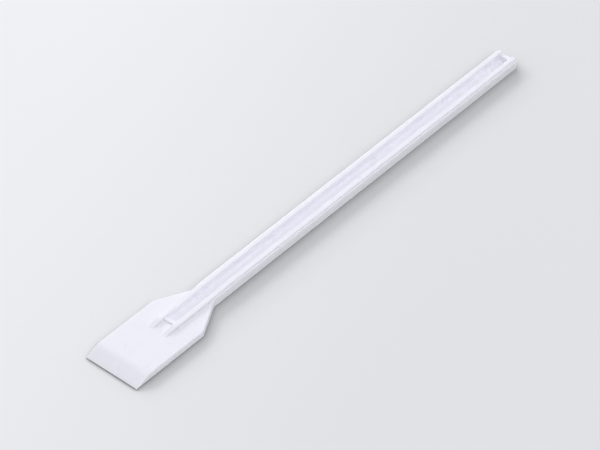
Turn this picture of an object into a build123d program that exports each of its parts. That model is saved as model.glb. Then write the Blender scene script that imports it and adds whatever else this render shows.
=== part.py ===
"""Cell scraper: one white plastic moulding, a bevelled flat blade on a long channelled handle.

The origin is on the flat underside, halfway along the object. +X runs from the scraping edge
along the handle, +Z points up to the side with the rails, and the two sides are mirror images
about the XZ plane. Distances along the object are given from the scraping edge, and lengths
are in millimetres.
"""

from build123d import *
import os

# ---- blade, seen from above -----------------------------------------------------------
total_length = 180.0      # scraping edge to the free end of the handle
blade_width = 19.3        # length of the scraping edge
blade_length = 27.75      # scraping edge to where the blade's sides turn inwards
shoulder_length = 10.75   # from there to where the shoulders meet the handle
shoulder_radius = 1.5
neck_radius = 4.0

# ---- blade, seen from the side --------------------------------------------------------
plate_thickness = 2.05
edge_thickness = 0.25     # blunt front face of the scraping edge
bevel_length = 4.95       # slope behind the scraping edge
bevel_radius = 5.0        # soft crest where the slope meets the flat of the blade
rise_lead = 2.0           # the flat of the blade starts to rise this far before the handle
rise_length = 4.5         # and reaches the height of the handle's ledges over this length

# ---- handle, in section ---------------------------------------------------------------
handle_width = 8.0
ledge_rise = 0.8          # how far the ledges outside the rails lie above the flat of the blade
ledge_width = 0.55
rail_width = 1.62
rail_step = 0.54          # how far the rails stand above the ledges where the handle starts
rail_gain = 0.15          # how much higher they stand at the free end
web_thickness = 1.0       # floor of the channel between the rails
floor_radius = 0.45       # soft corners along the channel's floor
end_wall = 1.6            # wall that closes the channel at the free end
end_radius = 0.95         # round corners of the free end, seen from above
edge_radius = 0.25        # rounding of the upper edges

# ---- the rails' ends, on the blade ----------------------------------------------------
rib_height = 0.93         # how far the rails stand above the flat of the blade
rib_reach = 15.9          # how far they run out over the blade before they slope down
rib_level = 5.0           # level stretch behind the tops of the slopes
dip_length = 25.0         # over this they rise to the height of the handle's rails
ramp_length = 3.8         # slopes, down to the flat of the blade
ramp_radius = 2.0         # soft crest at the top of each slope
crossbar_setback = 1.05   # from the tops of the slopes to the bar that joins the rails
crossbar_width = 1.5      # this bar closes the channel on the blade
crossbar_drop = 0.35      # how far its top lies below the rails beside it

# ---- worked out from the sizes above --------------------------------------------------
neck_distance = blade_length + shoulder_length
rise_distance = neck_distance - rise_lead
ramp_distance = neck_distance - rib_reach
dip_distance = ramp_distance + rib_level
handle_distance = dip_distance + dip_length
ledge_height = plate_thickness + ledge_rise
rail_height = ledge_height + rail_step
end_height = rail_height + rail_gain
rib_top = plate_thickness + rib_height
rail_outside = handle_width / 2 - ledge_width
rail_inside = rail_outside - rail_width
rail_end_radius = end_radius - ledge_width / 2  # the ledges fade out round the corners
crossbar_front = ramp_distance + crossbar_setback
channel_start = crossbar_front + crossbar_width
channel_end = total_length - end_wall
bevel_slope = (plate_thickness - edge_thickness) / bevel_length
ramp_slope = rib_height / ramp_length
rail_slope = rail_gain / (total_length - handle_distance)
spare = 1.0               # stock beyond the finished edge and underside, trimmed off later

# Views of the object from above and from its -Y side, with x measured from the scraping edge.
scraping_edge = (-total_length / 2, 0, 0)
top_view = Plane(origin=scraping_edge, x_dir=(1, 0, 0), z_dir=(0, 0, 1))
side_view = Plane(origin=scraping_edge, x_dir=(1, 0, 0), z_dir=(0, -1, 0))


# ---- one rail, reaching down into the slab to the level of the channel's floor --------
with BuildPart() as rail:
    ramp_foot = (ramp_distance - (rib_top - web_thickness) / ramp_slope, web_thickness)
    with BuildSketch(top_view.offset(web_thickness)):
        with BuildLine():
            Polyline(
                (ramp_foot[0], rail_inside),
                (total_length, rail_inside),
                (total_length, rail_outside),
                (ramp_foot[0], rail_outside),
                close=True,
            )
        make_face()
        fillet(vertices().group_by(Axis.X)[-1].sort_by(Axis.Y)[-1], rail_end_radius)
    extrude(amount=end_height)

    # Slope on the blade, level stretch, dip and the long gentle rise to the free end.
    rib_end = (dip_distance, rib_top)
    handle_start = (handle_distance, rail_height)
    with BuildSketch(side_view):
        with BuildLine():
            FilletPolyline(ramp_foot, (ramp_distance, rib_top), rib_end, radius=ramp_radius)
            Spline(rib_end, handle_start, tangents=[(1, 0), (1, rail_slope)])
            Polyline(
                handle_start,
                (total_length, end_height),
                (total_length, web_thickness),
                ramp_foot,
            )
        make_face()
    extrude(amount=handle_width, both=True, mode=Mode.INTERSECT)
    upright = edges().filter_by(Axis.Z)
    foot = edges().group_by(Axis.Z)[0]
    fillet(edges() - upright - foot, edge_radius)


# ---- the bar across the rails, reaching into both of them -----------------------------
with BuildPart() as crossbar:
    with BuildSketch(top_view.offset(web_thickness)):
        with Locations((crossbar_front + crossbar_width / 2, 0)):
            Rectangle(crossbar_width, 2 * rail_inside + rail_width)
    extrude(amount=rib_top - crossbar_drop - web_thickness)
    fillet(edges().group_by(Axis.Z)[-1].filter_by(Axis.Y), edge_radius)


# ---- the scraper: a slab for blade and handle, with channel, rails and bar ------------
with BuildPart() as cell_scraper:
    # Plan of blade and handle, as stock that reaches past the edge and the underside.
    with BuildSketch(top_view.offset(-spare)):
        with BuildLine():
            Polyline(
                (-spare, 0),
                (-spare, blade_width / 2),
                (blade_length, blade_width / 2),
                (neck_distance, handle_width / 2),
                (total_length, handle_width / 2),
                (total_length, 0),
            )
            mirror(about=Plane.XZ)
        make_face()
        for distance, radius in (
            (blade_length, shoulder_radius),
            (neck_distance, neck_radius),
            (total_length, end_radius),
        ):
            fillet(vertices().filter_by_position(Axis.X, distance, distance), radius)
    extrude(amount=spare + ledge_height)

    # Bevel, flat of the blade, and the rise to the handle's ledges.
    slope_foot = (-spare, edge_thickness - bevel_slope * spare)
    rise_start = (rise_distance, plate_thickness)
    rise_end = (rise_distance + rise_length, ledge_height)
    with BuildSketch(side_view):
        with BuildLine():
            FilletPolyline(
                slope_foot, (bevel_length, plate_thickness), rise_start, radius=bevel_radius
            )
            Spline(rise_start, rise_end, tangents=[(1, 0), (1, 0)])
            Polyline(
                rise_end,
                (total_length, ledge_height),
                (total_length, -spare),
                (-spare, -spare),
                slope_foot,
            )
        make_face()
    extrude(amount=blade_width, both=True, mode=Mode.INTERSECT)

    # Round the upper edges along the sides and the free end, then trim off the spare stock.
    front = faces().sort_by(Axis.X)[:1]
    side_faces = faces().filter_by(lambda face: abs(face.normal_at().Z) < 0.01) - front
    side_edges = side_faces.edges() - side_faces.edges().filter_by(Axis.Z) - front.edges()
    fillet(side_edges.filter_by(lambda edge: edge.center().Z > -spare / 2), edge_radius)
    split(bisect_by=Plane.XY, keep=Keep.TOP)
    split(bisect_by=Plane.YZ.offset(-total_length / 2), keep=Keep.TOP)

    # Channel, closed by the crossbar at the blade and by a wall at the free end.
    with BuildSketch(top_view.offset(web_thickness)):
        with Locations(((channel_start + channel_end) / 2, 0)):
            Rectangle(channel_end - channel_start, 2 * rail_inside)
    extrude(amount=rail_height, mode=Mode.SUBTRACT)

    add(rail.part)
    mirror(rail.part, about=Plane.XZ)
    add(crossbar.part)
    fillet(edges().filter_by_position(Axis.Z, web_thickness, web_thickness), floor_radius)
    end_wall_edge = top_view.from_local_coords((channel_end, 0, ledge_height))
    fillet(edges().sort_by_distance(end_wall_edge)[0], edge_radius)

cell_scraper.part.label = "cell_scraper"

os.makedirs("parts", exist_ok=True)
export_step(cell_scraper.part, "parts/cell_scraper.step")
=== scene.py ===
"""Looks of the cell scraper: milky white moulded plastic on a plain pale bench, in metres."""

import math

import bpy
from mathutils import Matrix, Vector


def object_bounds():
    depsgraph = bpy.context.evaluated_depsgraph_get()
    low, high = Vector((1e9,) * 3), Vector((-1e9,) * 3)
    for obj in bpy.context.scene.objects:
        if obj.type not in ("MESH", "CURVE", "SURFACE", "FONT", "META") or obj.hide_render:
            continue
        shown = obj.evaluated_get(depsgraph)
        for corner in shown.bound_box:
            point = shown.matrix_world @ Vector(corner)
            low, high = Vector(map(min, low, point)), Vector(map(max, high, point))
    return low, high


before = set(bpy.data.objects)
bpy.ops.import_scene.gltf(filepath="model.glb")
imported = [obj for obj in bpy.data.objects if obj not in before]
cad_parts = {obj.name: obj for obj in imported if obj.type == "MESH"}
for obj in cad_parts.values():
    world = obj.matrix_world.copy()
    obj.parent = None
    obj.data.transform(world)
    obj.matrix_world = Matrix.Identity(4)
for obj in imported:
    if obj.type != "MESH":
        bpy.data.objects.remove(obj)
cad_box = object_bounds()

# ---- camera: a long lens from the blade's end, above the near side -------------------
CAMERA_AZIMUTH = 220.554        # degrees, as for the lamps
CAMERA_ELEVATION = 42.259
CAMERA_DISTANCE = 0.8796
CAMERA_LENS = 180.0             # focal length and sensor width are in millimetres
CAMERA_SENSOR = 36.0
CAMERA_NEAREST = 0.01           # nothing closer or further away than these is drawn
CAMERA_FURTHEST = 50.0
CAMERA_AIM = (-0.00922, 0.00003)    # it looks at this x and y, at the underside's height

# ---- light ---------------------------------------------------------------------------
LIGHT_COLOUR = (0.974, 0.976, 1.044)    # of the lamps and the room
ROOM_LOW = 0.157                # the room's glow near the horizon
ROOM_HIGH = 0.79                # and from the white ceiling
CEILING_FROM = 0.40             # sine of the elevation where the ceiling's glow starts
CEILING_TO = 0.90               # and where it is full

# ---- bench ---------------------------------------------------------------------------
BENCH_SIZE = 6.0
BENCH_ROUGHNESS = 0.9
BENCH_GAP = 0.0002              # under the scraper's middle, as under a slightly bowed one
BENCH_SLOPE = 0.0012            # leaves more under the blade and less under the free end
# Painted light falloff: the bench's colour runs from the dim one to the bright one across it.
BENCH_PAINTED_DIM = (0.823, 0.831, 0.805, 1)
BENCH_PAINTED_BRIGHT = (0.928, 0.930, 0.896, 1)
PAINTED_FALLOFF_TURN = math.radians(114)  # painted light falloff: the bench's colour is brighter towards this side
PAINTED_FALLOFF_FROM = -0.05              # along that direction from the scraper's middle
PAINTED_FALLOFF_TO = 0.11
# Painted shade: the bench's colour darkens close to the scraper, on top of the lamps' own shadows.
PAINTED_SHADE_COLOUR = (0.0, 0.0, 0.0, 1)
PAINTED_SHADE_SAMPLES = 8
PAINTED_SHADE_REACH = 0.025             # how far the painted shade reaches around the scraper
PAINTED_SHADE_DEPTH = 0.80              # share of the tone that is lost where no sky is seen at all
PAINTED_LEE_REACH = 0.014               # the extra painted shade on the side away from the window
PAINTED_LEE_LEAN = math.radians(40)     # the sky that counts here leans this far towards the window
PAINTED_LEE_TONE = 0.87                 # share of the tone that is kept where it is full
PAINTED_LEE_FROM = 0.71                 # it is full where this share of that sky is seen, or less
PAINTED_LEE_TO = 0.92                   # and ends where this share is

# ---- white polyethylene --------------------------------------------------------------
PLASTIC_LIGHT = (0.950, 0.953, 0.994, 1)
PLASTIC_DARK = (0.938, 0.941, 0.988, 1)
PLASTIC_IOR = 1.51
MILKY_DEPTH = 0.0008            # how far light wanders under the surface
MILKY_RADIUS = (1.0, 1.0, 1.0)  # the same for red, green and blue
MILKY_SHARE = 0.5               # the rest comes straight back from the surface
FLOW_SCALE = (60, 320, 320)     # clouds and waves to the metre, drawn out along the handle
CLOUDS_FROM = 0.35              # noise below this is the dark tone
CLOUDS_TO = 0.65                # and above this the light one
GLOSS_SCALE = 240.0             # about this many patches to the metre
GLOSS_FROM = 0.24               # roughness of the glossiest places
GLOSS_TO = 0.34                 # and of the dullest
GRAIN_SCALE = 5200.0            # about this many grains to the metre
GRAIN_STRENGTH = 0.12
GRAIN_HEIGHT = 0.00002
WAVES_STRENGTH = 0.25
WAVES_HEIGHT = 0.00006


def add_node(owner, kind, **values):
    """A new node of a material or a world, with the named inputs set."""
    node = owner.node_tree.nodes.new(kind)
    for name, value in values.items():
        node.inputs[name.replace("_", " ")].default_value = value
    return node


def mix_colours(material, factor, first, second):
    """The output of a colour mix; a colour is a value or another node's output."""
    mix = add_node(material, "ShaderNodeMix")
    mix.data_type = "RGBA"
    links = material.node_tree.links
    links.new(factor, mix.inputs["Factor"])
    sockets = {socket.name: socket for socket in mix.inputs if socket.type == "RGBA"}
    for name, colour in (("A", first), ("B", second)):
        if isinstance(colour, tuple):
            sockets[name].default_value = colour
        else:
            links.new(colour, sockets[name])
    return next(socket for socket in mix.outputs if socket.type == "RGBA")


def put_facing(name, data, centre, azimuth, elevation, distance):
    """A camera or a lamp that faces a centre from some way off.

    It stands at this azimuth, counted from +X towards +Y, and this elevation, in degrees.
    """
    turn = math.radians(azimuth)
    rise = math.radians(elevation)
    away = Vector((
        math.cos(turn) * math.cos(rise),
        math.sin(turn) * math.cos(rise),
        math.sin(rise),
    ))
    thing = bpy.data.objects.new(name, data)
    thing.location = centre + away * distance
    thing.rotation_mode = "QUATERNION"
    thing.rotation_quaternion = away.to_track_quat("Z", "Y")
    bpy.context.scene.collection.objects.link(thing)
    return thing


def make_camera():
    """The camera, placed so that the scraper lies as in the photo."""
    data = bpy.data.cameras.new("camera")
    data.lens = CAMERA_LENS
    data.sensor_width = CAMERA_SENSOR
    data.clip_start = CAMERA_NEAREST
    data.clip_end = CAMERA_FURTHEST
    aim = Vector((*CAMERA_AIM, cad_box[0].z))
    bpy.context.scene.camera = put_facing(
        "camera", data, aim, CAMERA_AZIMUTH, CAMERA_ELEVATION, CAMERA_DISTANCE
    )


def painted_bench_shade(material):
    """How much of its tone the bench keeps under the painted shade close to the scraper, as one
    value.
    """
    links = material.node_tree.links
    around = add_node(material, "ShaderNodeAmbientOcclusion", Distance=PAINTED_SHADE_REACH)
    around.samples = PAINTED_SHADE_SAMPLES
    keep_around = add_node(material, "ShaderNodeMapRange", To_Min=1 - PAINTED_SHADE_DEPTH)
    links.new(around.outputs["AO"], keep_around.inputs["Value"])

    lee = add_node(material, "ShaderNodeAmbientOcclusion", Distance=PAINTED_LEE_REACH)
    lee.samples = PAINTED_SHADE_SAMPLES
    lean = add_node(material, "ShaderNodeCombineXYZ", Y=math.sin(PAINTED_LEE_LEAN), Z=math.cos(PAINTED_LEE_LEAN))
    keep_lee = add_node(
        material, "ShaderNodeMapRange", From_Min=PAINTED_LEE_FROM, From_Max=PAINTED_LEE_TO, To_Min=PAINTED_LEE_TONE
    )
    keep_lee.interpolation_type = "SMOOTHSTEP"
    links.new(lean.outputs["Vector"], lee.inputs["Normal"])
    links.new(lee.outputs["AO"], keep_lee.inputs["Value"])

    both = add_node(material, "ShaderNodeMath")
    both.operation = "MULTIPLY"
    links.new(keep_around.outputs["Result"], both.inputs[0])
    links.new(keep_lee.outputs["Result"], both.inputs[1])
    return both.outputs["Value"]


def bench_paper():
    """Matt pale surface, with a painted light falloff that makes one side brighter and painted shade
    close to the scraper.
    """
    material = bpy.data.materials.new("bench_paper")
    material.use_nodes = True
    links = material.node_tree.links
    shader = material.node_tree.nodes["Principled BSDF"]
    shader.inputs["Roughness"].default_value = BENCH_ROUGHNESS
    shader.inputs["Specular IOR Level"].default_value = 0.0

    # Painted light falloff: the bench's tone gets brighter towards one side.
    place = add_node(material, "ShaderNodeTexCoord")
    turn = add_node(material, "ShaderNodeMapping", Rotation=(0, 0, -PAINTED_FALLOFF_TURN))
    along = add_node(material, "ShaderNodeSeparateXYZ")
    painted_falloff = add_node(material, "ShaderNodeMapRange", From_Min=PAINTED_FALLOFF_FROM, From_Max=PAINTED_FALLOFF_TO)
    painted_falloff.interpolation_type = "SMOOTHSTEP"
    links.new(place.outputs["Object"], turn.inputs["Vector"])
    links.new(turn.outputs["Vector"], along.inputs["Vector"])
    links.new(along.outputs["X"], painted_falloff.inputs["Value"])
    tone = mix_colours(material, painted_falloff.outputs["Result"], BENCH_PAINTED_DIM, BENCH_PAINTED_BRIGHT)
    # Painted shade: the tone is mixed towards black close to the scraper.
    painted_shaded = mix_colours(material, painted_bench_shade(material), PAINTED_SHADE_COLOUR, tone)

    # The painted shade is only looked at, directly, mirrored or through glass: light that the bench
    # throws back onto the scraper's side comes from the tone without the painted shade.
    ray = add_node(material, "ShaderNodeLightPath")
    looked_at = ray.outputs["Is Camera Ray"]
    for kind in ("Is Glossy Ray", "Is Transmission Ray"):
        either = add_node(material, "ShaderNodeMath")
        either.operation = "MAXIMUM"
        links.new(looked_at, either.inputs[0])
        links.new(ray.outputs[kind], either.inputs[1])
        looked_at = either.outputs["Value"]
    seen = mix_colours(material, looked_at, tone, painted_shaded)
    links.new(seen, shader.inputs["Base Color"])
    return material


def make_bench():
    """The bench under the scraper; it is no part of the object."""
    half = BENCH_SIZE / 2
    middle = cad_box[0].z - BENCH_GAP
    mesh = bpy.data.meshes.new("bench")
    corners = [
        (x, y, middle + BENCH_SLOPE * x)
        for x, y in ((-half, -half), (half, -half), (half, half), (-half, half))
    ]
    mesh.from_pydata(corners, [], [(0, 1, 2, 3)])
    mesh.materials.append(bench_paper())
    bench = bpy.data.objects.new("bench", mesh)
    bpy.context.scene.collection.objects.link(bench)


def area_light(name, azimuth, elevation, distance, size, level):
    """A soft oval lamp that faces the scraper.

    Its level says how much light the bench gets from it, so its power follows from the level,
    the distance and the elevation.
    """
    data = bpy.data.lights.new(name, "AREA")
    data.shape = "ELLIPSE"
    data.size, data.size_y = size
    data.energy = level * math.pi ** 2 * distance ** 2 / math.sin(math.radians(elevation))
    data.color = LIGHT_COLOUR
    put_facing(name, data, Vector((0, 0, 0)), azimuth, elevation, distance)


def make_lamps():
    """Two low windows beyond the far side, a panel in front and a weak fill at the free end."""
    area_light("window", azimuth=88, elevation=29, distance=1.4, size=(1.0, 0.4), level=0.116)
    area_light("corner_window", azimuth=52, elevation=22, distance=1.4, size=(0.5, 0.7), level=0.102)
    area_light("front_panel", azimuth=246, elevation=46, distance=1.5, size=(0.9, 0.6), level=0.20)
    area_light("end_fill", azimuth=350, elevation=24, distance=1.5, size=(0.7, 0.6), level=0.039)


def make_room():
    """A dim glow all around, which gets stronger towards the ceiling."""
    world = bpy.data.worlds.new("room")
    world.use_nodes = True
    links = world.node_tree.links
    background = world.node_tree.nodes["Background"]
    background.inputs["Color"].default_value = (*LIGHT_COLOUR, 1)
    direction = add_node(world, "ShaderNodeTexCoord")
    split = add_node(world, "ShaderNodeSeparateXYZ")
    ceiling = add_node(
        world,
        "ShaderNodeMapRange",
        From_Min=CEILING_FROM,
        From_Max=CEILING_TO,
        To_Min=ROOM_LOW,
        To_Max=ROOM_HIGH,
    )
    ceiling.interpolation_type = "SMOOTHSTEP"
    links.new(direction.outputs["Generated"], split.inputs["Vector"])
    links.new(split.outputs["Z"], ceiling.inputs["Value"])
    links.new(ceiling.outputs["Result"], background.inputs["Strength"])
    bpy.context.scene.world = world


def white_plastic():
    """Satin white polyethylene: milky under the surface, with a fine moulded skin."""
    material = bpy.data.materials.new("white_polyethylene")
    material.use_nodes = True
    links = material.node_tree.links
    shader = material.node_tree.nodes["Principled BSDF"]
    shader.inputs["IOR"].default_value = PLASTIC_IOR
    shader.inputs["Subsurface Weight"].default_value = MILKY_SHARE
    shader.inputs["Subsurface Radius"].default_value = MILKY_RADIUS
    shader.inputs["Subsurface Scale"].default_value = MILKY_DEPTH
    place = add_node(material, "ShaderNodeTexCoord")

    # Faint clouds in the milky plastic, drawn out along the handle as the melt flowed.
    flow = add_node(material, "ShaderNodeMapping", Scale=FLOW_SCALE)
    clouds = add_node(material, "ShaderNodeTexNoise", Scale=1.0, Detail=4.0, Roughness=0.55)
    tone = add_node(material, "ShaderNodeValToRGB")
    tone.color_ramp.elements[0].position = CLOUDS_FROM
    tone.color_ramp.elements[0].color = PLASTIC_DARK
    tone.color_ramp.elements[1].position = CLOUDS_TO
    tone.color_ramp.elements[1].color = PLASTIC_LIGHT
    links.new(place.outputs["Object"], flow.inputs["Vector"])
    links.new(flow.outputs["Vector"], clouds.inputs["Vector"])
    links.new(clouds.outputs["Fac"], tone.inputs["Fac"])
    links.new(tone.outputs["Color"], shader.inputs["Base Color"])

    # Satin gloss that varies a little from place to place.
    patches = add_node(material, "ShaderNodeTexNoise", Scale=GLOSS_SCALE, Detail=3.0, Roughness=0.5)
    gloss = add_node(material, "ShaderNodeMapRange", To_Min=GLOSS_FROM, To_Max=GLOSS_TO)
    links.new(place.outputs["Object"], patches.inputs["Vector"])
    links.new(patches.outputs["Fac"], gloss.inputs["Value"])
    links.new(gloss.outputs["Result"], shader.inputs["Roughness"])

    # Fine grain of the mould over a slow waviness from shrinking.
    grain = add_node(material, "ShaderNodeTexNoise", Scale=GRAIN_SCALE, Detail=2.0, Roughness=0.5)
    skin = add_node(material, "ShaderNodeBump", Strength=GRAIN_STRENGTH, Distance=GRAIN_HEIGHT)
    waves = add_node(material, "ShaderNodeTexNoise", Scale=1.0, Detail=1.0, Roughness=0.4)
    shrink = add_node(material, "ShaderNodeBump", Strength=WAVES_STRENGTH, Distance=WAVES_HEIGHT)
    links.new(place.outputs["Object"], grain.inputs["Vector"])
    links.new(flow.outputs["Vector"], waves.inputs["Vector"])
    links.new(waves.outputs["Fac"], shrink.inputs["Height"])
    links.new(grain.outputs["Fac"], skin.inputs["Height"])
    links.new(shrink.outputs["Normal"], skin.inputs["Normal"])
    links.new(skin.outputs["Normal"], shader.inputs["Normal"])
    return material


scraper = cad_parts["cell_scraper"]
scraper.data.materials.clear()
scraper.data.materials.append(white_plastic())

make_camera()
make_bench()
make_lamps()
make_room()

bpy.context.scene.view_settings.view_transform = "Standard"
